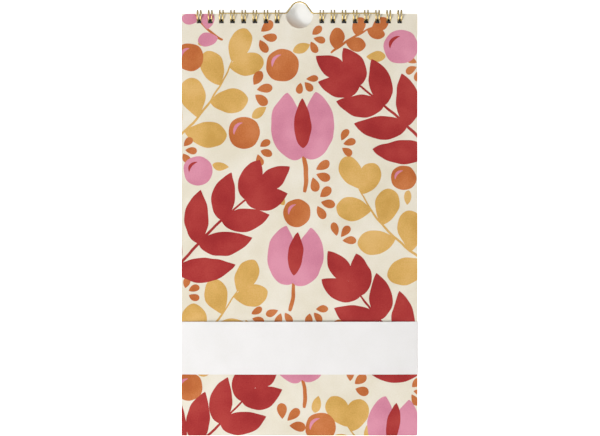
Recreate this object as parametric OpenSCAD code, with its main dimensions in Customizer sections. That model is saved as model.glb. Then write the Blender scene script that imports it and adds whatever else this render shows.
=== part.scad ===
// Birthday calendar: sheets bound along the top with twin-loop wire, hung by a bent wire hanger
// and closed by a paper band. Millimetres; X to the right, Y to the wall behind, Z up.
// The origin is the point inside the hanger's crown where a nail carries the calendar.

/* [Sheets] */
// Width of every sheet
sheet_w = 179; // [150:1:240]
// Height of every sheet
sheet_h = 320; // [240:1:420]
// Thickness of the printed front cover
cover_t = 0.35; // [0.2:0.05:0.6]
// Thickness of one month page
page_t = 0.25; // [0.15:0.01:0.35]
// Number of month pages
page_count = 12; // [6:1:16]
// Thickness of the back board
board_t = 1; // [0.6:0.1:1.6]

/* [Twin-loop binding] */
// Distance from one loop to the next (three loops to the inch)
pitch = 8.467; // [7:0.001:12.7]
// Diameter of the binding wire
wire_d = 0.9; // [0.7:0.05:1.1]
// Distance between the two strands of one loop, centre to centre
strand_gap = 2.45; // [2:0.05:2.8]
// Free room inside a loop, across the stack of sheets
loop_room = 2.75; // [2:0.05:3.5]
// Radius of the bends at the spine, on the wire's centre line
spine_bend_r = 0.8; // [0.7:0.05:1]
// Angle of the spine above the level of the loops' centres, at the back
spine_angle = 20; // [15:1:30]
// Space left between a loop's closed tip and the spine
tip_space = 0.35; // [0.2:0.05:0.8]
// Least distance from the outermost loop to the side edge of the sheets
side_margin = 9; // [6:0.5:15]

/* [Punched holes] */
// Margin of paper between the top edge and the holes
hole_margin = 3.4; // [2.5:0.1:5]
// Height of a hole
hole_h = 3.8; // [3.2:0.1:5]
// Space beside the strands in a hole
hole_side_clear = 0.2; // [0.15:0.05:0.5]
// Space between the wire and the upper edge of a hole
hole_top_clear = 0.3; // [0.2:0.05:0.6]
// Least web of paper between the thumb cut and the nearest hole
thumb_web = 3; // [2:0.5:6]

/* [Hanger] */
// Length of the hanger, end to end
hanger_l = 120; // [80:1:140]
// Diameter of the hanger wire
hanger_d = 1.1; // [0.8:0.1:1.4]
// Height of the bump, from the arms to the crown, on the wire's centre line
hanger_rise = 8.65; // [8:0.05:12]
// Width of the bump where it meets the arms
bump_w = 22; // [20:0.5:28]
// Radius of the crown, on the wire's centre line
crown_r = 7.2; // [5:0.1:7.5]
// Radius of the two feet of the bump, on the wire's centre line
foot_r = 2.3; // [2:0.1:3.5]
// Space between the hanger's arms and the top edge of the sheets
arm_clear = 0.3; // [0.2:0.05:0.5]

/* [Thumb cut] */
// How far each foot of the bump reaches over the sheets beside the cut
foot_cover = 0.7; // [0.2:0.1:0.8]
// Space between the folded-down crown and the bottom of the cut
fold_room = 2.65; // [1:0.05:5]

/* [Paper band] */
// Height of the band
band_h = 40; // [25:1:70]
// Distance from the foot of the sheets up to the band
band_foot = 46.5; // [10:0.5:120]
// Thickness of the band's paper
band_t = 0.2; // [0.12:0.01:0.4]
// Space between the band and the sheets
band_clear = 0.25; // [0.2:0.05:0.6]
// Outer radius of the band's four folds
band_fold_r = 0.6; // [0.5:0.05:1]
// Width of the glued lap at the back
lap_w = 25; // [15:1:45]
// Length over which the outer end climbs onto the inner one
lap_ramp = 2; // [1:0.5:5]

/* [Hidden] */
$fn = 64;
// Cuts run this far past the faces that they open
overcut = 1;

// Stack of sheets, centred on Y = 0, with the cover in front
pages_t = page_count * page_t;
stack_t = cover_t + pages_t + board_t;
cover_y = -stack_t / 2;
pages_y = cover_y + cover_t;
board_y = pages_y + pages_t;

// Levels, down from the inside of the crown
crown_z = hanger_d / 2;
arm_z = crown_z - hanger_rise;
sheet_top_z = arm_z - hanger_d / 2 - arm_clear;
sheet_foot_z = sheet_top_z - sheet_h;

// Loops: big enough for the stack, and low enough to pass through the holes
loop_in_r = (stack_t + loop_room) / 2;
loop_r = loop_in_r + wire_d / 2;
loop_z = sheet_top_z - hole_margin - hole_top_clear + sqrt(pow(loop_in_r, 2) - pow(stack_t / 2, 2));
// Arc of a strand, from the spine over the top and the front to the tip
tip_r = strand_gap / 2;
seam_length = spine_bend_r + tip_r + wire_d + tip_space;
strand_angle = 360 - seam_length / loop_r * 180 / PI;
link_l = pitch - strand_gap - 2 * spine_bend_r;
// Two bends of a wire that meet at a slant end this far from the joint, in a bead this much thicker
joint_gap = 0.05;
joint_swell = 1.04;

// Thumb cut, sized by the bump that folds down into it
thumb_r = bump_w / 2 - foot_cover;
thumb_depth = hanger_rise - arm_clear + fold_room;
thumb_drop = thumb_depth - thumb_r;

// Holes stand on one grid of pitches about the middle; those nearest the thumb cut are left out
hole_w = strand_gap + wire_d + 2 * hole_side_clear;
first_loop = ceil((thumb_r + hole_w / 2 + thumb_web) / pitch);
last_loop = floor((sheet_w / 2 - side_margin) / pitch);
side_loops = [for (i = [first_loop : last_loop]) i * pitch];

// Slope of the bump's flanks: the common tangent of a crown and two feet of these radii
bump_radii = crown_r + foot_r;
flank_angle = atan2(hanger_rise - bump_radii, bump_w / 2)
    + asin(bump_radii / norm([bump_w / 2, hanger_rise - bump_radii]));
flank_l = (hanger_rise - bump_radii * (1 - cos(flank_angle))) / sin(flank_angle);

// Inside of the band, half across
band_in_x = sheet_w / 2 + band_clear;
band_in_y = stack_t / 2 + band_clear;

// Outline of a sheet, with the middle of its top edge at the origin
module sheet_outline() {
    difference() {
        translate([-sheet_w / 2, -sheet_h]) square([sheet_w, sheet_h]);
        thumb_cut();
        for (side = [-1, 1], x = side_loops) {
            translate([side * x - hole_w / 2, -hole_margin - hole_h]) square([hole_w, hole_h]);
        }
    }
}

// Half-round notch in the top edge
module thumb_cut() {
    wall_h = max(thumb_drop, 0);
    translate([0, -thumb_drop]) circle(r = thumb_r);
    translate([-thumb_r, -wall_h]) square([2 * thumb_r, wall_h + overcut]);
}

// A sheet, or a block of sheets, from y towards the back
module sheet(y, thickness) {
    translate([0, y + thickness, sheet_top_z])
        rotate([90, 0, 0])
            linear_extrude(thickness) sheet_outline();
}

module front_cover() {
    color("#E9DFC8") sheet(cover_y, cover_t);
}

module month_pages() {
    color("#F4F0E6") sheet(pages_y, pages_t);
}

module back_board() {
    color("#B9B1A4") sheet(board_y, board_t);
}

// Round wire bent to an arc about Z, from the X axis through an angle
module wire_arc(d, r, sweep) {
    rotate_extrude(angle = sweep) translate([r, 0]) circle(d = d);
}

// The same arc between two beads, kept short of both
module wire_arc_between(d, r, sweep) {
    rest = joint_gap / r * 180 / PI;
    rotate([0, 0, rest]) wire_arc(d, r, sweep - 2 * rest);
}

// Swelling that joins two bends of a wire
module bead(d) {
    sphere(d = d * joint_swell);
}

// Two strands and the closed tip that joins them. The strands start on the X axis, and Z is the spine
module twin_loop() {
    rest = joint_gap / loop_r * 180 / PI;
    for (side = [-1, 1]) {
        translate([0, 0, side * strand_gap / 2]) wire_arc(wire_d, loop_r, strand_angle - rest);
    }
    rotate([0, 0, strand_angle]) translate([loop_r, 0, 0]) {
        rotate([0, 90, 0]) wire_arc_between(wire_d, tip_r, 180);
        for (side = [-1, 1]) translate([0, 0, side * strand_gap / 2]) bead(wire_d);
    }
}

// Bend from a strand's start into the spine, on the +Z side
module spine_bend() {
    translate([loop_r, 0, strand_gap / 2 + spine_bend_r])
        rotate([0, 90, 0]) rotate([0, 0, -90]) wire_arc(wire_d, spine_bend_r, 90);
}

// Spine from this loop to the next one along +Z, with a bend at each end
module spine_link() {
    spine_bend();
    translate([0, 0, pitch]) mirror([0, 0, 1]) spine_bend();
    translate([loop_r, -spine_bend_r, strand_gap / 2 + spine_bend_r]) cylinder(d = wire_d, h = link_l);
}

// One length of binding wire, through every hole to the right of the thumb cut
module binding_wire() {
    last = len(side_loops) - 1;
    translate([0, 0, loop_z]) rotate([0, 90, 0]) rotate([0, 0, 90 + spine_angle]) {
        for (i = [0 : last]) {
            translate([0, 0, side_loops[i]]) twin_loop();
            if (i < last) translate([0, 0, side_loops[i]]) spine_link();
        }
    }
}

module binding_wire_left() {
    color("#C9A24E") mirror([1, 0, 0]) binding_wire();
}

module binding_wire_right() {
    color("#C9A24E") binding_wire();
}

// Hanger's left half: arm, foot and flank, with the beads that join them to the crown
module hanger_side() {
    rest = joint_gap / foot_r * 180 / PI;
    translate([-hanger_l / 2, 0, arm_z])
        rotate([0, 90, 0]) cylinder(d = hanger_d, h = (hanger_l - bump_w) / 2);
    translate([-bump_w / 2, 0, arm_z + foot_r])
        rotate([90, 0, 0]) rotate([0, 0, 270]) wire_arc(hanger_d, foot_r, flank_angle - rest);
    translate([foot_r * sin(flank_angle) - bump_w / 2, 0, arm_z + foot_r * (1 - cos(flank_angle))])
        rotate([0, 90 - flank_angle, 0]) {
            bead(hanger_d);
            translate([0, 0, joint_gap]) cylinder(d = hanger_d, h = flank_l - 2 * joint_gap);
            translate([0, 0, flank_l]) bead(hanger_d);
        }
}

module hanger() {
    color("#C9A24E") {
        translate([0, 0, crown_z - crown_r])
            rotate([90, 0, 0])
                rotate([0, 0, 90 - flank_angle]) wire_arc_between(hanger_d, crown_r, 2 * flank_angle);
        hanger_side();
        mirror([1, 0, 0]) hanger_side();
    }
}

// Rectangle about the origin with round corners
module round_rectangle(half_x, half_y, r) {
    square([2 * half_x, 2 * (half_y - r)], center = true);
    square([2 * (half_x - r), 2 * half_y], center = true);
    for (x = [r - half_x, half_x - r], y = [r - half_y, half_y - r]) {
        translate([x, y]) circle(r = r);
    }
}

// Strip of paper folded round the sheets, its ends glued one over the other at the back
module band_section() {
    lap_y = band_in_y + band_t;
    difference() {
        round_rectangle(band_in_x + band_t, band_in_y + band_t, band_fold_r);
        round_rectangle(band_in_x, band_in_y, band_fold_r - band_t);
    }
    polygon([
        [-lap_w / 2 - lap_ramp, lap_y], [lap_w / 2, lap_y],
        [lap_w / 2, lap_y + band_t], [-lap_w / 2, lap_y + band_t]
    ]);
}

module paper_band() {
    color("#F3F2F0") translate([0, 0, sheet_foot_z + band_foot]) linear_extrude(band_h) band_section();
}

front_cover();
month_pages();
back_board();
binding_wire_left();
binding_wire_right();
hanger();
paper_band();
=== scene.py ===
"""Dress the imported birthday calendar: printed cover, loose leaves, board, gilt wire and paper band."""

import logging
import math
from dataclasses import dataclass, field
from enum import Enum
from typing import Any

import bmesh
import bpy
from mathutils import Matrix, Vector, noise


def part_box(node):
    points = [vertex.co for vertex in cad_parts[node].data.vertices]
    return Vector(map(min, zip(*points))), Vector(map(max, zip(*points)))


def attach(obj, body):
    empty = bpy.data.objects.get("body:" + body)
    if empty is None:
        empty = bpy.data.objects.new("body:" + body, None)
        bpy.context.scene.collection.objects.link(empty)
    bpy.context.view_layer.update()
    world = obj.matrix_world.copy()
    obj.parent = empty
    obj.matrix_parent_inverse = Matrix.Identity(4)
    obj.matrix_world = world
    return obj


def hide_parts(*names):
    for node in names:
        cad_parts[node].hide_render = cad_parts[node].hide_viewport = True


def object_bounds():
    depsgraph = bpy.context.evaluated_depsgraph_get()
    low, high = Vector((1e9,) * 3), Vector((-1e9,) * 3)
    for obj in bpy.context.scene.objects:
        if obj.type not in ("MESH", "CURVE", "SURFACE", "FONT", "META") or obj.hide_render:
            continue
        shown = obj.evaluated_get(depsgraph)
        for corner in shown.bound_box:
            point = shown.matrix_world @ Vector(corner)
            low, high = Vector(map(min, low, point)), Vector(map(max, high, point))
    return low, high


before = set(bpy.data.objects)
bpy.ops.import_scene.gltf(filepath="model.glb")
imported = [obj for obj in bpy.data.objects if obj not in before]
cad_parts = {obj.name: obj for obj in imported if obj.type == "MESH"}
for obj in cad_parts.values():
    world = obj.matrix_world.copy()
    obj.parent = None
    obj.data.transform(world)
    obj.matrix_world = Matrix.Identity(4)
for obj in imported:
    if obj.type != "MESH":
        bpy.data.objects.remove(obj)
CAD_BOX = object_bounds()

MM = 0.001
MICRON = 1e-6
# Numbers of a Mix node's sockets when it mixes colours
MIX_A, MIX_B, MIX_RESULT = 6, 7, 2
# Share of a stem at which its end leaf starts, a little inside its end
STEM_END = 0.97
log = logging.getLogger("calendar")

Point = tuple[float, float]
Curve = tuple[Point, Point, Point]


def linear(code: str) -> tuple[float, float, float, float]:
    """Turn an sRGB hex colour into linear RGBA.

    Args:
        code: Colour as "#RRGGBB".

    Returns:
        Linear red, green, blue and an alpha of 1.
    """
    channels = [int(code[i : i + 2], 16) / 255 for i in (1, 3, 5)]
    red, green, blue = [c / 12.92 if c <= 0.04045 else ((c + 0.055) / 1.055) ** 2.4 for c in channels]
    return red, green, blue, 1.0


def add_node(
    tree: bpy.types.NodeTree,
    kind: str,
    settings: dict[str | int, Any] | None = None,
    links: dict[str | int, bpy.types.NodeSocket] | None = None,
) -> bpy.types.Node:
    """Add one shader node with its settings and its incoming links.

    Args:
        tree: Node tree that gets the node.
        kind: Blender's name of the node type.
        settings: Values by the name of a property, or by the name or number of an input.
        links: Output sockets by the name or number of the input that they feed.

    Returns:
        The new node.
    """
    node = tree.nodes.new(kind)
    for key, value in (settings or {}).items():
        if isinstance(key, int) or key in node.inputs:
            node.inputs[key].default_value = value
        else:
            setattr(node, key, value)
    for key, socket in (links or {}).items():
        tree.links.new(socket, node.inputs[key])
    return node


def empty_material(name: str) -> tuple[bpy.types.Material, bpy.types.NodeTree]:
    """Make a material with an empty node tree.

    Args:
        name: Name of the finish.

    Returns:
        The material and its tree.
    """
    material = bpy.data.materials.new(name)
    material.use_nodes = True
    material.node_tree.nodes.clear()
    return material, material.node_tree


def per_metre(millimetres: float) -> float:
    """Return the texture scale at which one feature is so many millimetres wide."""
    return 1000.0 / millimetres


@dataclass(frozen=True)
class UncoatedPaper:
    """Uncoated woodfree paper, bare or printed: dead matt, faintly cloudy, with a felt-like tooth.

    The cloud is the uneven formation of the fibres, or the ink that they drink unevenly. The grain is
    the tooth, which breaks up flat colour.
    """

    name: str
    deep: str
    colour: str
    pale: str
    cloud_mm: float = 24.0
    grain_mm: float = 1.1
    grain_share: float = 0.35
    deep_at: float = 0.38
    usual_at: float = 0.5
    pale_at: float = 0.62
    roughness: float = 0.88
    tooth: float = 0.12
    tooth_depth: float = 0.05 * MM

    def material(self) -> bpy.types.Material:
        """Build the paper's material."""
        material, tree = empty_material(self.name)
        place = add_node(tree, "ShaderNodeTexCoord")
        cloud = add_node(
            tree, "ShaderNodeTexNoise", {"Scale": per_metre(self.cloud_mm), "Detail": 3.0},
            {"Vector": place.outputs["Object"]},
        )
        # Paper grain is near 0.2 mm; it is drawn coarser, because finer than a pixel it would not show
        grain = add_node(
            tree, "ShaderNodeTexNoise",
            {"Scale": per_metre(self.grain_mm), "Detail": 4.0, "Roughness": 0.65},
            {"Vector": place.outputs["Object"]},
        )
        both = add_node(
            tree, "ShaderNodeMix", {"data_type": "FLOAT", "Factor": self.grain_share},
            {"A": cloud.outputs["Fac"], "B": grain.outputs["Fac"]},
        )
        tone = add_node(tree, "ShaderNodeValToRGB", links={"Fac": both.outputs["Result"]})
        stops = tone.color_ramp.elements
        stops[0].position = self.deep_at
        stops[0].color = linear(self.deep)
        stops[1].position = self.pale_at
        stops[1].color = linear(self.pale)
        middle = stops.new(self.usual_at)
        middle.color = linear(self.colour)
        bump = add_node(
            tree, "ShaderNodeBump", {"Strength": self.tooth, "Distance": self.tooth_depth},
            {"Height": grain.outputs["Fac"]},
        )
        surface = add_node(
            tree, "ShaderNodeBsdfPrincipled",
            {"Roughness": self.roughness, "IOR": 1.45, "Specular IOR Level": 0.12},
            {"Base Color": tone.outputs["Color"], "Normal": bump.outputs["Normal"]},
        )
        add_node(tree, "ShaderNodeOutputMaterial", links={"Surface": surface.outputs["BSDF"]})
        return material


@dataclass(frozen=True)
class Greyboard:
    """Recycled greyboard, pressed and unlined: drab, with dark and pale flecks of the waste paper in it."""

    name: str = "recycled_greyboard"
    colour: str = "#A89F92"
    dark_fleck: str = "#7E7568"
    pale_fleck: str = "#C6BFB3"
    fleck_mm: float = 1.6
    dark_at: float = 0.27
    plain_from: float = 0.42
    plain_to: float = 0.6
    pale_at: float = 0.74
    roughness: float = 0.92
    press: float = 0.25
    press_depth: float = 0.05 * MM

    def material(self) -> bpy.types.Material:
        """Build the board's material."""
        material, tree = empty_material(self.name)
        place = add_node(tree, "ShaderNodeTexCoord")
        fibres = add_node(
            tree, "ShaderNodeTexNoise",
            {"Scale": per_metre(self.fleck_mm), "Detail": 5.0, "Roughness": 0.7, "Distortion": 0.6},
            {"Vector": place.outputs["Object"]},
        )
        ramp = add_node(tree, "ShaderNodeValToRGB", links={"Fac": fibres.outputs["Fac"]})
        stops = ramp.color_ramp.elements
        stops[0].position = self.dark_at
        stops[0].color = linear(self.dark_fleck)
        stops[1].position = self.plain_from
        stops[1].color = linear(self.colour)
        middle = stops.new(self.plain_to)
        middle.color = linear(self.colour)
        pale = stops.new(self.pale_at)
        pale.color = linear(self.pale_fleck)
        bump = add_node(
            tree, "ShaderNodeBump", {"Strength": self.press, "Distance": self.press_depth},
            {"Height": fibres.outputs["Fac"]},
        )
        surface = add_node(
            tree, "ShaderNodeBsdfPrincipled",
            {"Roughness": self.roughness, "IOR": 1.45, "Specular IOR Level": 0.2},
            {"Base Color": ramp.outputs["Color"], "Normal": bump.outputs["Normal"]},
        )
        add_node(tree, "ShaderNodeOutputMaterial", links={"Surface": surface.outputs["BSDF"]})
        return material


@dataclass(frozen=True)
class GiltWire:
    """Low-carbon steel wire with a gold lacquer: bright lines along the round, faint drawing marks."""

    name: str = "gold_lacquered_steel_wire"
    colour: str = "#E2CC8C"
    shade: str = "#C2A65A"
    mark_mm: float = 0.6
    shade_at: float = 0.35
    bright_at: float = 0.6
    smoothest: float = 0.15
    roughest: float = 0.27

    def material(self) -> bpy.types.Material:
        """Build the wire's material."""
        material, tree = empty_material(self.name)
        place = add_node(tree, "ShaderNodeTexCoord")
        marks = add_node(
            tree, "ShaderNodeTexNoise", {"Scale": per_metre(self.mark_mm), "Detail": 2.0},
            {"Vector": place.outputs["Object"]},
        )
        tone = add_node(tree, "ShaderNodeValToRGB", links={"Fac": marks.outputs["Fac"]})
        stops = tone.color_ramp.elements
        stops[0].position = self.shade_at
        stops[0].color = linear(self.shade)
        stops[1].position = self.bright_at
        stops[1].color = linear(self.colour)
        gloss = add_node(
            tree, "ShaderNodeMapRange", {"To Min": self.smoothest, "To Max": self.roughest},
            {"Value": marks.outputs["Fac"]},
        )
        surface = add_node(
            tree, "ShaderNodeBsdfPrincipled",
            {"Metallic": 1.0, "Coat Weight": 0.6, "Coat Roughness": 0.08},
            {"Base Color": tone.outputs["Color"], "Roughness": gloss.outputs["Result"]},
        )
        add_node(tree, "ShaderNodeOutputMaterial", links={"Surface": surface.outputs["BSDF"]})
        return material


COVER_STOCK = UncoatedPaper("uncoated_cream_card", "#E5DECC", "#EAE4D5", "#EEE9DD")
LEAF_STOCK = UncoatedPaper("uncoated_white_paper", "#EEE9DC", "#F1EDE2", "#F4F1E8")
BAND_STOCK = UncoatedPaper(
    "smooth_white_paper", "#EDEDEE", "#EFEFF1", "#F1F1F3", roughness=0.8, tooth=0.05
)
# Grey of the flags that only reflections show: painted dark reflections on the wire
FLAG_CLOTH = UncoatedPaper("grey_flag_cloth", "#78746C", "#7C7870", "#807C74")


class Ink(Enum):
    """Offset inks of the cover: deep, usual and thin tone, and height on the card in micrometres."""

    MUSTARD = ("mustard_offset_ink", "#CCA054", "#DAAE63", "#E3BA76", 18.0)
    ORANGE = ("orange_offset_ink", "#B86537", "#C57341", "#CF8150", 22.0)
    PINK = ("pink_offset_ink", "#CF829C", "#D88DA6", "#E098B0", 26.0)
    RED = ("brick_red_offset_ink", "#9E2E30", "#AA3737", "#B4423F", 30.0)

    @property
    def finish(self) -> UncoatedPaper:
        """Ink that has sunk into uncoated paper: matt, and thinner where the card shows through."""
        return UncoatedPaper(*self.value[:4])

    @property
    def height(self) -> float:
        """Height of the ink's surface above the card, in metres."""
        return self.value[4] * MICRON


def along(curve: Curve, t: float) -> tuple[Point, float]:
    """Find a point on a quadratic curve.

    Args:
        curve: Start, control point and end.
        t: Share of the way along it.

    Returns:
        The point, and the heading there in radians.
    """
    start, pull, end = (Vector(p) for p in curve)
    here = start.lerp(pull, t).lerp(pull.lerp(end, t), t)
    way = pull.lerp(end, t) - start.lerp(pull, t)
    return (here.x, here.y), math.atan2(way.y, way.x)


def step(start: Point, heading: float, forward: float, aside: float = 0.0) -> Point:
    """Return the point reached from start by going forward along a heading, and aside from it."""
    c, s = math.cos(heading), math.sin(heading)
    return start[0] + c * forward - s * aside, start[1] + s * forward + c * aside


def share_along(vert: bmesh.types.BMVert) -> float:
    """Return how far along the X axis of a unit circle a corner lies, from 0 to 1."""
    return min(max((1 + vert.co.x) / 2, 0.0), 1.0)


@dataclass
class PrintSheet:
    """Flat outlines of the print, one mesh for each ink.

    They are drawn in millimetres on the sheet: X to the right of its middle, Y down from its top edge.
    """

    corners: int = 64
    wobble: float = 0.8
    wobble_pitch: float = 9.0
    seed: int = 3
    straight: float = 1e-6
    bluntness: float = 0.3
    fullness: float = 0.05
    plates: dict[Ink, bmesh.types.BMesh] = field(default_factory=lambda: {ink: bmesh.new() for ink in Ink})

    def __post_init__(self) -> None:
        """Seed the noise, which otherwise starts from the clock."""
        noise.seed_set(self.seed)

    def disc(self, ink: Ink) -> list[bmesh.types.BMVert]:
        """Start an outline as a unit circle."""
        made = bmesh.ops.create_circle(self.plates[ink], cap_ends=True, radius=1.0, segments=self.corners)
        return made["verts"]

    def cut_by_hand(self, outline: list[bmesh.types.BMVert]) -> None:
        """Let an outline wander a little, as one cut with scissors does."""
        for vert in outline:
            vert.co.xy += self.wobble * noise.noise_vector(vert.co / self.wobble_pitch).xy

    def blade(
        self, ink: Ink, foot: Point, heading: float, length: float, width: float,
        bend: float = 0.0, tip: float = 0.4, base: float = 0.2,
    ) -> None:
        """Draw a leaf or petal.

        Args:
            ink: Colour of the outline.
            foot: Where it grows from.
            heading: Direction of its midrib at the foot, in radians.
            length: Length along the midrib.
            width: Greatest width.
            bend: Angle through which the midrib curves, in radians.
            tip: How sharply it narrows to the tip, 0 for round and 0.5 for a point.
            base: The same for its foot.
        """
        fullest = (0.5 + base) / (1 + base + tip)
        peak = 2 * fullest ** (0.5 + base) * (1 - fullest) ** (0.5 + tip)
        outline = self.disc(ink)
        for vert in outline:
            t = share_along(vert)
            across = vert.co.y * width / 2 / peak * (1 - t) ** tip * t**base
            turn = bend * t
            shortening = math.sin(turn / 2) / (turn / 2) if abs(turn) > self.straight else 1.0
            on_rib = step(foot, heading + turn / 2, length * t * shortening)
            vert.co.xy = step(on_rib, heading + turn, 0.0, across)
        self.cut_by_hand(outline)

    def stem(self, ink: Ink, curve: Curve, start_width: float, end_width: float) -> None:
        """Draw a stem with round ends that tapers along a curve.

        Args:
            ink: Colour of the outline.
            curve: Line that it follows.
            start_width: Width at the start.
            end_width: Width at the end.
        """
        outline = self.disc(ink)
        for vert in outline:
            t = share_along(vert)
            here, heading = along(curve, t)
            width = start_width + (end_width - start_width) * t
            across = math.copysign(abs(vert.co.y) ** self.bluntness, vert.co.y) * width / 2
            vert.co.xy = step(here, heading, 0.0, across)
        self.cut_by_hand(outline)

    def round(self, ink: Ink, middle: Point, radius: float) -> None:
        """Draw a round shape, a little fuller at its sides than a circle."""
        outline = self.disc(ink)
        for vert in outline:
            x = vert.co.x * (1 + self.fullness * vert.co.y**2)
            vert.co.xy = (middle[0] + radius * x, middle[1] + radius * vert.co.y)
        self.cut_by_hand(outline)


@dataclass(frozen=True)
class Frond:
    """Stem with pairs of long leaves and one more at its end."""

    curve: Curve
    pairs: int = 4
    length: float = 47.0
    width: float = 18.5
    taper: float = 0.62
    slimming: float = 0.25
    stem_start: float = 2.6
    stem_end: float = 1.3
    first_pair: float = 0.6
    spare_end: float = 0.3
    spread: float = 62.0
    closing: float = 22.0
    bend: float = 0.45
    end_length: float = 0.95
    end_width: float = 0.85

    def draw(self, sheet: PrintSheet) -> None:
        """Draw the frond on the sheet."""
        sheet.stem(Ink.RED, self.curve, self.stem_start, self.stem_end)
        for i in range(self.pairs):
            t = (i + self.first_pair) / (self.pairs + self.spare_end)
            here, heading = along(self.curve, t)
            share = 1 - (1 - self.taper) * t
            width = self.width * (1 - self.slimming + self.slimming * share)
            turn = math.radians(self.spread - self.closing * t)
            for side in (1, -1):
                sheet.blade(
                    Ink.RED, here, heading + side * turn, self.length * share, width, bend=-side * self.bend
                )
        here, heading = along(self.curve, STEM_END)
        length = self.length * self.taper * self.end_length
        sheet.blade(Ink.RED, here, heading, length, self.width * self.end_width)


@dataclass(frozen=True)
class Sprig:
    """Stem with rounded leaves or buds, set one by one on either side."""

    curve: Curve
    count: int = 6
    length: float = 34.0
    width: float = 21.0
    leaf: Ink = Ink.MUSTARD
    stalk: Ink = Ink.MUSTARD
    spread: float = 58.0
    stem_start: float = 2.2
    stem_end: float = 1.2
    shortening: float = 0.25
    slimming: float = 0.2
    bend: float = 0.3
    end_size: float = 0.8
    tip: float = 0.1
    base: float = 0.35

    def draw(self, sheet: PrintSheet) -> None:
        """Draw the sprig on the sheet."""
        sheet.stem(self.stalk, self.curve, self.stem_start, self.stem_end)
        for i in range(self.count):
            t = (i + 0.5) / self.count
            here, heading = along(self.curve, t)
            side = 1 if i % 2 else -1
            sheet.blade(
                self.leaf, here, heading + side * math.radians(self.spread),
                self.length * (1 - self.shortening * t), self.width * (1 - self.slimming * t),
                bend=-side * self.bend, tip=self.tip, base=self.base,
            )
        here, heading = along(self.curve, STEM_END)
        sheet.blade(
            self.leaf, here, heading, self.length * self.end_size, self.width * self.end_size,
            tip=self.tip, base=self.base,
        )


@dataclass(frozen=True)
class Tulip:
    """Closed flower head on a stalk, with two outer petals and one between them.

    The fields after its size are shares of it, apart from the angles.
    """

    foot: Point
    heading: float
    size: float = 42.0
    stalk: float = 0.7
    sway_at: float = 0.4
    sway: float = 0.06
    stalk_foot: float = 0.07
    stalk_head: float = 0.06
    petal_drop: float = 0.05
    petal_aside: float = 0.03
    petal_turn: float = 0.6
    petal_bend: float = 0.85
    petal_width: float = 0.5
    inner_rise: float = 0.1
    inner_length: float = 0.72
    inner_width: float = 0.25

    def draw(self, sheet: PrintSheet) -> None:
        """Draw the tulip on the sheet."""
        size, heading = self.size, self.heading
        low = step(self.foot, heading, -self.stalk * size)
        pull = step(self.foot, heading, -self.sway_at * self.stalk * size, self.sway * size)
        sheet.stem(Ink.ORANGE, (low, pull, self.foot), self.stalk_foot * size, self.stalk_head * size)
        for side in (1, -1):
            at = step(self.foot, heading, -self.petal_drop * size, side * self.petal_aside * size)
            sheet.blade(
                Ink.PINK, at, heading + side * self.petal_turn, size, self.petal_width * size,
                bend=-side * self.petal_bend, tip=0.25, base=0.05,
            )
        at = step(self.foot, heading, self.inner_rise * size)
        sheet.blade(Ink.RED, at, heading, self.inner_length * size, self.inner_width * size, tip=0.35)


@dataclass(frozen=True)
class Fruit:
    """Round fruit with a leaf at its stalk and a crescent of light on its upper left.

    The leaf's gap is in millimetres. The other sizes of leaf and crescent are shares of the radius.
    """

    middle: Point
    radius: float
    heading: float
    skin: Ink = Ink.ORANGE
    fleck: Ink = Ink.PINK
    leaf_gap: float = 0.9
    leaf_turn: float = 0.5
    leaf_length: float = 1.1
    leaf_width: float = 0.6
    fleck_left: float = 0.64
    fleck_low: float = 0.12
    fleck_heading: float = -1.7
    fleck_bend: float = 1.6
    fleck_length: float = 1.05
    fleck_width: float = 0.2

    def draw(self, sheet: PrintSheet) -> None:
        """Draw the fruit on the sheet."""
        r, heading = self.radius, self.heading
        sheet.round(self.skin, self.middle, r)
        at = step(self.middle, heading, r + self.leaf_gap)
        sheet.blade(Ink.MUSTARD, at, heading + self.leaf_turn, self.leaf_length * r, self.leaf_width * r)
        at = step(self.middle, 0.0, -self.fleck_left * r, self.fleck_low * r)
        sheet.blade(
            self.fleck, at, self.fleck_heading, self.fleck_length * r, self.fleck_width * r,
            bend=self.fleck_bend, tip=0.4, base=0.4,
        )


@dataclass(frozen=True)
class Seeds:
    """Three drops that part from one point, in shares of their size."""

    foot: Point
    heading: float
    size: float = 10.0
    turns: tuple[float, ...] = (-0.9, 0.0, 0.9)
    gap: float = 0.36
    length: float = 0.92
    width: float = 0.56

    def draw(self, sheet: PrintSheet) -> None:
        """Draw the seeds on the sheet."""
        for turn in self.turns:
            at = step(self.foot, self.heading + turn, self.gap * self.size)
            sheet.blade(
                Ink.ORANGE, at, self.heading + turn, self.length * self.size, self.width * self.size,
                tip=0.05, base=0.4,
            )


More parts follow.
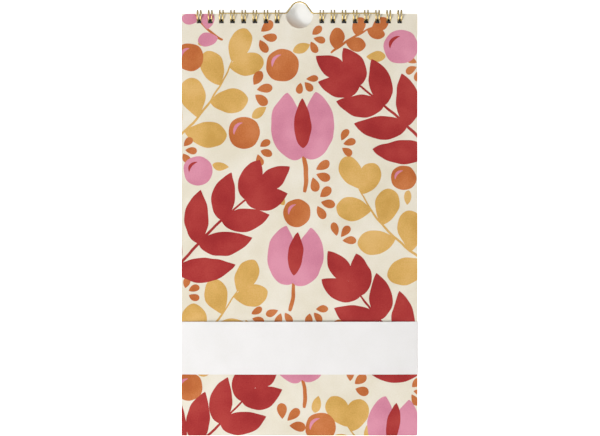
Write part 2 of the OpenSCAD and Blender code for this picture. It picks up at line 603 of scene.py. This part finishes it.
MOTIFS = (
    Frond(((110, 114), (72, 72), (33, 46))),
    Frond(((-104, 206), (-68, 160), (-28, 131)), length=48.0, width=19.0),
    Frond(((104, 278), (66, 242), (36, 200))),
    Frond(((-104, 348), (-68, 322), (-32, 281))),
    Sprig(((-104, 104), (-68, 76), (-50, 34))),
    Sprig(((104, 192), (62, 170), (44, 130)), length=33.0),
    Sprig(((-104, 272), (-70, 250), (-46, 208))),
    Sprig(((98, 362), (56, 344), (36, 311)), length=33.0),
    Tulip((3, 107), -1.6, size=52.0, stalk=0.55),
    Tulip((-5, 203), -1.47, size=46.0, stalk=0.5),
    Tulip((2, 277), -1.65, size=44.0, stalk=0.5),
    Tulip((68, 329), -1.4, size=42.0),
    Fruit((-13, 39), 12.5, -0.9),
    Fruit((77, 25), 13.0, 2.6, skin=Ink.PINK, fleck=Ink.RED),
    Fruit((-77, 119), 11.0, -0.35, skin=Ink.PINK, fleck=Ink.RED),
    Fruit((79, 124.5), 9.5, 1.2),
    Fruit((-42, 90), 12.0, -1.1),
    Sprig(((-58, 20), (-70, 14), (-80, 0)), 3, 16.0, 11.0, Ink.PINK, Ink.ORANGE, 50.0),
    Sprig(((24, 30), (38, 18), (56, 10)), 4, 17.0, 11.5, Ink.ORANGE, Ink.ORANGE, 50.0),
    Seeds((30, 99), -0.15),
    Seeds((12, 142), 0.2, 12.0),
    Seeds((29, 172), -0.9, 11.0),
    Seeds((-87, 212), -0.5, 9.5),
    Seeds((-13, 224), 1.9),
    Seeds((9, 224), 0.9),
    Seeds((38, 283), -0.6, 12.0),
    Seeds((-12, 312), -0.8, 13.0),
    Fruit((-2, 151), 10.5, -2.6),
    Fruit((-83, 33), 10.5, -1.0),
    Fruit((-31, 251), 10.0, -2.3),
    Fruit((16, 314), 11.5, -1.9),
    Fruit((-84, 283), 10.5, -0.9),
    Fruit((31, 261), 9.5, -1.9),
    Seeds((-37, 58), -0.15, 13.0),
    Seeds((-32, 16), 0.2, 12.0),
    Seeds((9, 120), 0.4, 12.0),
    Seeds((2, 49), 0.9, 9.5),
    Seeds((-90, 103), 0.1, 9.5),
    Seeds((-33, 103), 0.3, 10.0),
    Seeds((-39, 230), 0.3, 10.0),
    Seeds((92, 39), 2.7, 10.0),
    Seeds((83, 286), 0.1, 10.0),
    Seeds((21, 238), 0.5, 10.0),
    Seeds((7, 18), 0.2, 10.0),
)


def new_piece(
    name: str, mesh: bmesh.types.BMesh, body: str, material: bpy.types.Material
) -> bpy.types.Object:
    """Turn a finished bmesh into a piece of the object.

    Args:
        name: Name of the piece.
        mesh: Its shape in the row frame, which is freed.
        body: Body that it moves with.
        material: Its finish.

    Returns:
        The new object.
    """
    data = bpy.data.meshes.new(name)
    mesh.to_mesh(data)
    mesh.free()
    data.materials.append(material)
    piece = bpy.data.objects.new(name, data)
    bpy.context.scene.collection.objects.link(piece)
    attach(piece, body)
    log.info("%s: %d faces on %s", name, len(data.polygons), body)
    return piece


def copy_of_node(node: str) -> bmesh.types.BMesh:
    """Copy a CAD node's mesh with its loose triangles joined.

    Args:
        node: Name of the node.

    Returns:
        The copy.
    """
    mesh = bmesh.new()
    mesh.from_mesh(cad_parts[node].data)
    bmesh.ops.remove_doubles(mesh, verts=mesh.verts, dist=MICRON)
    return mesh


def dress_node(node: str, material: bpy.types.Material) -> None:
    """Give a CAD node its finish.

    Args:
        node: Name of the node.
        material: Material for all of it.
    """
    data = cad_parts[node].data
    data.materials.clear()
    data.materials.append(material)
    log.info("%s: %s", node, material.name)


@dataclass
class Cover:
    """Printed front cover: the CAD card, and the inks that lie on its face."""

    node: str = "front_cover"
    body: str = "calendar"
    sunk: float = 0.01 * MM
    face_slack: float = 0.01 * MM
    plate_mm: float = 2.0

    def build(self) -> None:
        """Dress the card and print it."""
        dress_node(self.node, COVER_STOCK.material())
        sheet = PrintSheet()
        for motif in MOTIFS:
            motif.draw(sheet)
        for ink, plate in sheet.plates.items():
            self.print_ink(ink, plate)

    def skin(self, height: float) -> bpy.types.Object:
        """Make a thin copy of the card that lies on its face, with the same outline, holes and thumb cut.

        Args:
            height: How far it stands out from the face, in metres.

        Returns:
            A scratch object.
        """
        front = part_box(self.node)[0].y
        mesh = copy_of_node(self.node)
        for vert in mesh.verts:
            on_face = vert.co.y < front + self.face_slack
            vert.co.y = front - height if on_face else front + self.sunk
        data = bpy.data.meshes.new("skin")
        mesh.to_mesh(data)
        mesh.free()
        return bpy.data.objects.new("skin", data)

    def print_ink(self, ink: Ink, plate: bmesh.types.BMesh) -> None:
        """Lay one ink on the card.

        Args:
            ink: The ink.
            plate: Its flat outlines, which are freed.
        """
        low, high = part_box(self.node)
        made = bmesh.ops.extrude_face_region(plate, geom=plate.faces[:])
        raised = [g for g in made["geom"] if isinstance(g, bmesh.types.BMVert)]
        bmesh.ops.translate(plate, verts=raised, vec=(0.0, 0.0, self.plate_mm))
        bmesh.ops.recalc_face_normals(plate, faces=plate.faces[:])
        to_row = (
            Matrix.Translation((0.0, low.y - self.plate_mm / 2 * MM, high.z))
            @ Matrix.Rotation(-math.pi / 2, 4, "X")
            @ Matrix.Scale(MM, 4)
        )
        bmesh.ops.transform(plate, matrix=to_row, verts=plate.verts[:])
        piece = new_piece(f"print_{ink.name.lower()}", plate, self.body, ink.finish.material())
        skin = self.skin(ink.height)
        bpy.context.scene.collection.objects.link(skin)
        trim = piece.modifiers.new("trim", "BOOLEAN")
        trim.operation = "INTERSECT"
        trim.solver = "EXACT"
        trim.use_self = True
        trim.object = skin
        result = piece.evaluated_get(bpy.context.evaluated_depsgraph_get())
        trimmed = bpy.data.meshes.new_from_object(result)
        piece.modifiers.clear()
        piece.data = trimmed
        bpy.data.objects.remove(skin)
        log.info("%s: trimmed to %d faces", piece.name, len(trimmed.polygons))


@dataclass
class Leaves:
    """Loose month pages, each a thin copy of the CAD block, laid not quite flush."""

    node: str = "month_pages"
    body: str = "calendar"
    count: int = 12
    air: float = 0.02 * MM
    jog: float = 0.12 * MM
    jog_start: float = 0.5
    jog_turn_x: float = 2.4
    jog_turn_z: float = 4.1

    def build(self) -> None:
        """Split the block into its leaves."""
        low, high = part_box(self.node)
        pitch = (high.y - low.y) / self.count
        block = bmesh.new()
        for i in range(self.count):
            leaf = copy_of_node(self.node)
            shrink = Matrix.Translation((0.0, low.y + i * pitch + self.air / 2, 0.0)) @ Matrix.Scale(
                (pitch - self.air) / (high.y - low.y), 4, (0.0, 1.0, 0.0)
            )
            across = self.jog * math.sin(self.jog_turn_x * i + self.jog_start)
            upward = self.jog * math.sin(self.jog_turn_z * i)
            aside = Matrix.Translation((across, 0.0, upward))
            place = aside @ shrink @ Matrix.Translation((0.0, -low.y, 0.0))
            bmesh.ops.transform(leaf, matrix=place, verts=leaf.verts[:])
            data = bpy.data.meshes.new("leaf")
            leaf.to_mesh(data)
            leaf.free()
            block.from_mesh(data)
            bpy.data.meshes.remove(data)
        piece = new_piece("page_leaves", block, self.body, LEAF_STOCK.material())
        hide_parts(self.node)


@dataclass
class Metalwork:
    """Both lengths of twin-loop wire and the hanger."""

    nodes: tuple[str, ...] = ("binding_wire_left", "binding_wire_right", "hanger")

    def build(self) -> None:
        """Gild the wires."""
        gilt = GiltWire().material()
        for node in self.nodes:
            dress_node(node, gilt)


@dataclass
class Backing:
    """Stiff board behind the pages."""

    node: str = "back_board"

    def build(self) -> None:
        """Dress the board."""
        dress_node(self.node, Greyboard().material())


@dataclass
class Band:
    """Strip of paper round the closed sheets, whose front bows out a little between its folds."""

    node: str = "paper_band"
    body: str = "band"
    front_depth: float = 0.24 * MM
    fold: float = 0.6 * MM
    bow: float = 1.1 * MM
    fullness: int = 4
    slices: int = 40
    crease: float = math.radians(20)
    cut_slack: float = 1e-7

    def build(self) -> None:
        """Bow a copy of the CAD strip, which it then stands for."""
        low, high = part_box(self.node)
        half = high.x - self.fold
        mesh = copy_of_node(self.node)
        for i in range(self.slices + 1):
            bmesh.ops.bisect_plane(
                mesh, geom=mesh.verts[:] + mesh.edges[:] + mesh.faces[:], dist=self.cut_slack,
                plane_co=(half * (2 * i / self.slices - 1), 0.0, 0.0), plane_no=(1.0, 0.0, 0.0),
            )
        for vert in mesh.verts:
            if vert.co.y < low.y + self.front_depth:
                out = min(abs(vert.co.x) / half, 1.0)
                vert.co.y -= self.bow * (1 - out**self.fullness)
        for face in mesh.faces:
            face.smooth = True
        for edge in mesh.edges:
            edge.smooth = edge.calc_face_angle(0.0) < self.crease
        piece = new_piece("bowed_band", mesh, self.body, BAND_STOCK.material())
        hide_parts(self.node)


class Facing(Enum):
    """Way that a sheet of the stage faces: its turn from lying face up, as an angle and an axis."""

    UP = (0.0, "X")
    FRONT = (math.pi / 2, "X")
    LEFT = (-math.pi / 2, "Y")

    def at(self, place: tuple[float, float, float]) -> Matrix:
        """Return the matrix that puts a sheet at a place, facing this way."""
        angle, axis = self.value
        return Matrix.Translation(place) @ Matrix.Rotation(angle, 4, axis)


@dataclass(frozen=True)
class SoftBox:
    """Lamp of the studio: place, width and height in metres, power in watts, and whether gloss shows it."""

    name: str
    place: tuple[float, float, float]
    size: tuple[float, float]
    watts: float
    in_gloss: bool = True


# The last two stand just behind the sheets, so that they light the edges and not the front
SOFT_BOXES = (
    SoftBox("key", (-1.7, -1.58, -1.12), (0.55, 0.8), 44.5, in_gloss=False),
    SoftBox("back_left", (-1.2, 1.6, 0.6), (1.0, 1.0), 12.0),
    SoftBox("back_right", (1.2, 1.6, 0.2), (1.0, 1.0), 8.0),
    SoftBox("right", (1.7, 0.3, -0.16), (0.6, 0.6), 9.0, in_gloss=False),
    SoftBox("top", (0.0, 0.3, 1.5), (0.6, 0.6), 9.0, in_gloss=False),
)


@dataclass
class Studio:
    """Pale wall and floor, soft light and a camera square to the cover."""

    frame_width: float = 0.4552
    middle: tuple[float, float] = (0.0004, -0.16385)
    lens: float = 60.0
    clip: tuple[float, float] = (0.05, 50.0)
    wall_gap: float = 0.3 * MM
    floor_z: float = -1.6
    size: float = 40.0
    lift: float = 0.75
    # Glow of the wall inside the thumb cut, lower than elsewhere so that it reads shaded there: painted
    # shade over the sheets' real shadow
    low_lift: float = 0.18
    sky: float = 0.5
    # Brightness of the glowing card that only reflections show: painted highlights on the wire
    card: float = 3.2
    pure_white: str = "#FFFFFF"
    sky_tint: str = "#FFFDFA"
    card_tint: str = "#FFFBF4"
    white: str = "#EBE7E0"
    # Lit and shaded tints of the wall inside the thumb cut: a painted light tint and a painted warm shade
    wall_lit_white: str = "#E6E7E6"
    wall_shade: str = "#EBD5C1"
    # Where the wall's paint is darkened by ambient occlusion, a painted shade: a circle round the thumb cut
    # and the row of punched holes. The slant sets a warm painted shade towards the cut's lower left.
    cut_z: float = -10.5 * MM
    cut_near: float = 10.6 * MM
    cut_far: float = 11.4 * MM
    row_z: float = -13.5 * MM
    row_half: float = 3.5 * MM
    white_z: float = -24.0 * MM
    air_reach: float = 9 * MM
    air_shut: float = 0.18
    air_open: float = 0.48
    slant: tuple[float, float, float] = (-0.5, 0.0, -0.87)
    slant_near: float = 10 * MM
    slant_far: float = 18 * MM

    def build(self) -> None:
        """Set up the whole studio."""
        self.world()
        self.wall()
        self.floor()
        self.flags()
        self.lamps()
        self.camera()
        bpy.context.scene.view_settings.view_transform = "Standard"

    def seen(self, tree: bpy.types.NodeTree) -> bpy.types.NodeSocket:
        """Return a socket that is 1 where the camera, a reflection or clear matter shows the surface."""
        light = add_node(tree, "ShaderNodeLightPath")
        straight = add_node(
            tree, "ShaderNodeMath", {"operation": "MAXIMUM"},
            {0: light.outputs["Is Camera Ray"], 1: light.outputs["Is Glossy Ray"]},
        )
        either = add_node(
            tree, "ShaderNodeMath", {"operation": "MAXIMUM"},
            {0: straight.outputs["Value"], 1: light.outputs["Is Transmission Ray"]},
        )
        return either.outputs["Value"]

    def hollow(
        self, tree: bpy.types.NodeTree
    ) -> tuple[bpy.types.NodeSocket, bpy.types.NodeSocket, bpy.types.NodeSocket]:
        """Paint shade on the wall: dark behind the punched holes, shaded inside the thumb cut, and white
        elsewhere.

        Args:
            tree: Node tree of the wall's paint.

        Returns:
            The painted ambient-occlusion shade, 1 where a place is open to the air; how far it is lifted to
            white; and the paint's colour there, with a painted warm shade in the cut.
        """
        place = add_node(tree, "ShaderNodeTexCoord")
        axes = add_node(tree, "ShaderNodeSeparateXYZ", links={"Vector": place.outputs["Object"]})
        away = add_node(
            tree, "ShaderNodeVectorMath",
            {"operation": "DISTANCE", 1: (0.0, CAD_BOX[1].y, self.cut_z)},
            {0: place.outputs["Object"]},
        )
        not_cut = add_node(
            tree, "ShaderNodeMath", {"operation": "GREATER_THAN", 1: self.cut_far},
            {0: away.outputs["Value"]},
        )
        in_row = add_node(
            tree, "ShaderNodeMath", {"operation": "COMPARE", 1: self.row_z, 2: self.row_half},
            {0: axes.outputs["Z"]},
        )
        not_row = add_node(
            tree, "ShaderNodeMath", {"operation": "SUBTRACT", 0: 1.0}, {1: in_row.outputs["Value"]}
        )
        plain = add_node(
            tree, "ShaderNodeMath", {"operation": "MINIMUM"},
            {0: not_cut.outputs["Value"], 1: not_row.outputs["Value"]},
        )
        # Ambient occlusion darkens the paint's colour and glow behind the punched holes and inside the cut:
        # painted shade
        air = add_node(tree, "ShaderNodeAmbientOcclusion", {"Distance": self.air_reach})
        shade = add_node(
            tree, "ShaderNodeMapRange", {"From Min": self.air_shut, "From Max": self.air_open},
            {"Value": air.outputs["AO"]},
        )
        open_air = add_node(
            tree, "ShaderNodeMath", {"operation": "MAXIMUM"},
            {0: shade.outputs["Result"], 1: plain.outputs["Value"]},
        )
        # Painted warm shade, darker and warmer towards the cut's lower left, standing in for light bounced
        # off the cream edges of the sheets
        slant = add_node(
            tree, "ShaderNodeVectorMath", {"operation": "DOT_PRODUCT", 1: self.slant},
            {0: place.outputs["Object"]},
        )
        painted_shade_share = add_node(
            tree, "ShaderNodeMapRange", {"From Min": self.slant_near, "From Max": self.slant_far},
            {"Value": slant.outputs["Value"]},
        )
        deep = add_node(
            tree, "ShaderNodeMath", {"operation": "SUBTRACT", "use_clamp": True},
            {0: painted_shade_share.outputs["Result"], 1: not_cut.outputs["Value"]},
        )
        tone = add_node(
            tree, "ShaderNodeMix",
            {"data_type": "RGBA", MIX_A: linear(self.wall_lit_white), MIX_B: linear(self.wall_shade)},
            {"Factor": deep.outputs["Value"]},
        )
        # The glow inside the cut fades to nothing towards its lower left: painted shade
        own_lift = add_node(
            tree, "ShaderNodeMapRange", {"To Min": self.low_lift, "To Max": 0.0},
            {"Value": deep.outputs["Value"]},
        )
        # Inside the cut the glow is lower, so that the wall there reads shaded: painted shade
        lift = add_node(
            tree, "ShaderNodeMapRange",
            {"From Min": self.cut_near, "From Max": self.cut_far, "To Max": self.lift},
            {"Value": away.outputs["Value"], "To Min": own_lift.outputs["Result"]},
        )
        # Below the binding nothing shows the wall from the front, so it is plain white there
        low = add_node(
            tree, "ShaderNodeMath", {"operation": "LESS_THAN", 1: self.white_z}, {0: axes.outputs["Z"]}
        )
        lifted = add_node(
            tree, "ShaderNodeMath", {"operation": "MAXIMUM"},
            {0: lift.outputs["Result"], 1: low.outputs["Value"]},
        )
        return open_air.outputs["Value"], lifted.outputs["Value"], tone.outputs[MIX_RESULT]

    def paint(self, name: str, on_wall: bool) -> bpy.types.Material:
        """Make a matt white paint that a camera sees as white but that keeps the object's shadow.

        Args:
            name: Name of the material.
            on_wall: Whether it gets painted shade behind the binding and in the thumb cut, and can be seen
                through from the back.

        Returns:
            The material.
        """
        material, tree = empty_material(name)
        matt = add_node(tree, "ShaderNodeBsdfDiffuse", {"Color": linear(self.white)})
        shown = add_node(
            tree, "ShaderNodeMath", {"operation": "MULTIPLY", 1: self.lift}, {0: self.seen(tree)}
        )
        glow = add_node(
            tree, "ShaderNodeEmission", {"Color": linear(self.pure_white)},
            {"Strength": shown.outputs["Value"]},
        )
        both = add_node(
            tree, "ShaderNodeAddShader", links={0: matt.outputs["BSDF"], 1: glow.outputs["Emission"]}
        )
        surface = both.outputs["Shader"]
        if on_wall:
            open_air, lift, paint = self.hollow(tree)
            # The painted shade darkens both the paint's colour and its glow
            tone = add_node(
                tree, "ShaderNodeVectorMath", {"operation": "SCALE"}, {"Vector": paint, "Scale": open_air}
            )
            tree.links.new(tone.outputs["Vector"], matt.inputs["Color"])
            shaded_lift = add_node(
                tree, "ShaderNodeMath", {"operation": "MULTIPLY"}, {0: lift, 1: open_air}
            )
            tree.links.new(shaded_lift.outputs["Value"], shown.inputs[1])
            side = add_node(tree, "ShaderNodeNewGeometry")
            clear = add_node(tree, "ShaderNodeBsdfTransparent")
            mix = add_node(
                tree, "ShaderNodeMixShader",
                links={"Fac": side.outputs["Backfacing"], 1: surface, 2: clear.outputs["BSDF"]},
            )
            surface = mix.outputs["Shader"]
        add_node(tree, "ShaderNodeOutputMaterial", links={"Surface": surface})
        return material

    def plane(self, name: str, place: Matrix, material: bpy.types.Material) -> bpy.types.Object:
        """Make a big flat sheet that is part of the stage.

        Args:
            name: Name of the sheet.
            place: Where it lies, facing its local +Z.
            material: Its paint.

        Returns:
            The sheet.
        """
        mesh = bmesh.new()
        bmesh.ops.create_grid(mesh, x_segments=1, y_segments=1, size=self.size / 2)
        bmesh.ops.transform(mesh, matrix=place, verts=mesh.verts[:])
        data = bpy.data.meshes.new(name)
        mesh.to_mesh(data)
        mesh.free()
        data.materials.append(material)
        sheet = bpy.data.objects.new(name, data)
        bpy.context.scene.collection.objects.link(sheet)
        return sheet

    def wall(self) -> None:
        """Stand the wall just behind the binding."""
        back = CAD_BOX[1].y + self.wall_gap
        place = Facing.FRONT.at((0.0, back, 0.0))
        wall = self.plane("wall", place, self.paint("matt_wall_paint", on_wall=True))
        wall.visible_shadow = False
        wall.visible_diffuse = False

    def floor(self) -> None:
        """Lay the floor well below the calendar."""
        place = Facing.UP.at((0.0, 0.0, self.floor_z))
        self.plane("floor", place, self.paint("matt_floor_paint", on_wall=False))

    def glow(self, name: str, strength: float) -> bpy.types.Material:
        """Make a material that shines evenly.

        Args:
            name: Name of the material.
            strength: Its brightness, 1 for white.

        Returns:
            The material.
        """
        material, tree = empty_material(name)
        shine = add_node(
            tree, "ShaderNodeEmission", {"Color": linear(self.card_tint), "Strength": strength}
        )
        add_node(tree, "ShaderNodeOutputMaterial", links={"Surface": shine.outputs["Emission"]})
        return material

    def flags(self) -> None:
        """Hang grey flags and a glowing card that only gloss shows: painted dark and bright reflections on
        the wire.
        """
        grey = FLAG_CLOTH.material()
        bright = self.glow("bright_card", self.card)
        back = CAD_BOX[1].y + self.wall_gap / 2
        # Each has its place, its width and height in metres, and its finish
        places = {
            "flag_right": (Facing.LEFT.at((0.9, -1.25, 0.0)), (2.1, 3.5), grey),
            "flag_above": (Facing.UP.at((0.7, -0.2, 0.75)), (2.1, 2.1), grey),
            # A grey card against the wall above the sheets, seen only in reflections: painted dark
            # reflection on the tops of the loops
            "flag_behind": (Facing.FRONT.at((0.0, back, 0.045)), (0.4, 0.1), grey),
            # A small grey flag just before the hanger's crown dulls its reflection there: painted dark
            # reflection
            "flag_crown": (Facing.FRONT.at((-0.006, -0.0165, -0.0095)), (0.02, 0.016), grey),
            # The card glows though it is no lamp and only reflections show it: a painted highlight on the
            # lower halves of the loops
            "card_low": (Facing.UP.at((-0.5, -1.35, -0.8)), (2.0, 2.3), bright),
        }
        for name, (place, (width, height), finish) in places.items():
            fit = Matrix.Diagonal((width / self.size, height / self.size, 1.0, 1.0))
            flag = self.plane(name, place @ fit, finish)
            flag.visible_camera = False
            flag.visible_diffuse = False
            flag.visible_shadow = False

    def world(self) -> None:
        """Light everything from all round, with a white background for the camera."""
        world = bpy.data.worlds.new("studio")
        bpy.context.scene.world = world
        world.use_nodes = True
        tree = world.node_tree
        tree.nodes.clear()
        sky = add_node(
            tree, "ShaderNodeBackground", {"Color": linear(self.sky_tint), "Strength": self.sky}
        )
        white = add_node(
            tree, "ShaderNodeBackground", {"Color": linear(self.pure_white), "Strength": 1.0}
        )
        either = add_node(
            tree, "ShaderNodeMixShader",
            links={"Fac": self.seen(tree), 1: sky.outputs["Background"], 2: white.outputs["Background"]},
        )
        add_node(tree, "ShaderNodeOutputWorld", links={"Surface": either.outputs["Shader"]})

    def lamp(self, box: SoftBox, target: Vector) -> None:
        """Add one lamp.

        Args:
            box: The soft box.
            target: What it points at.
        """
        data = bpy.data.lights.new(box.name, "AREA")
        data.shape = "RECTANGLE"
        data.size, data.size_y = box.size
        data.energy = box.watts
        lamp = bpy.data.objects.new(box.name, data)
        lamp.location = box.place
        lamp.rotation_euler = (target - Vector(box.place)).to_track_quat("-Z", "Y").to_euler()
        lamp.visible_glossy = box.in_gloss
        bpy.context.scene.collection.objects.link(lamp)

    def lamps(self) -> None:
        """Set a key low on the left, a weaker pair for the back, and a pair for the edges in the shade."""
        target = Vector((0.0, 0.0, self.middle[1]))
        for box in SOFT_BOXES:
            self.lamp(box, target)

    def camera(self) -> None:
        """Place the camera so that the photograph's frame fits the cover."""
        data = bpy.data.cameras.new("camera")
        data.lens = self.lens
        data.clip_start, data.clip_end = self.clip
        camera = bpy.data.objects.new("camera", data)
        distance = self.frame_width * self.lens / data.sensor_width
        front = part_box("front_cover")[0].y
        camera.location = (self.middle[0], front - distance, self.middle[1])
        camera.rotation_euler = (math.pi / 2, 0.0, 0.0)
        bpy.context.scene.collection.objects.link(camera)
        bpy.context.scene.camera = camera


def main() -> None:
    """Build every part of the scene in order."""
    logging.basicConfig(level=logging.INFO, format="%(name)s: %(message)s")
    for part in (Cover(), Leaves(), Metalwork(), Backing(), Band(), Studio()):
        part.build()
        log.info("%s done", type(part).__name__)


if __name__ == "__main__":
    main()
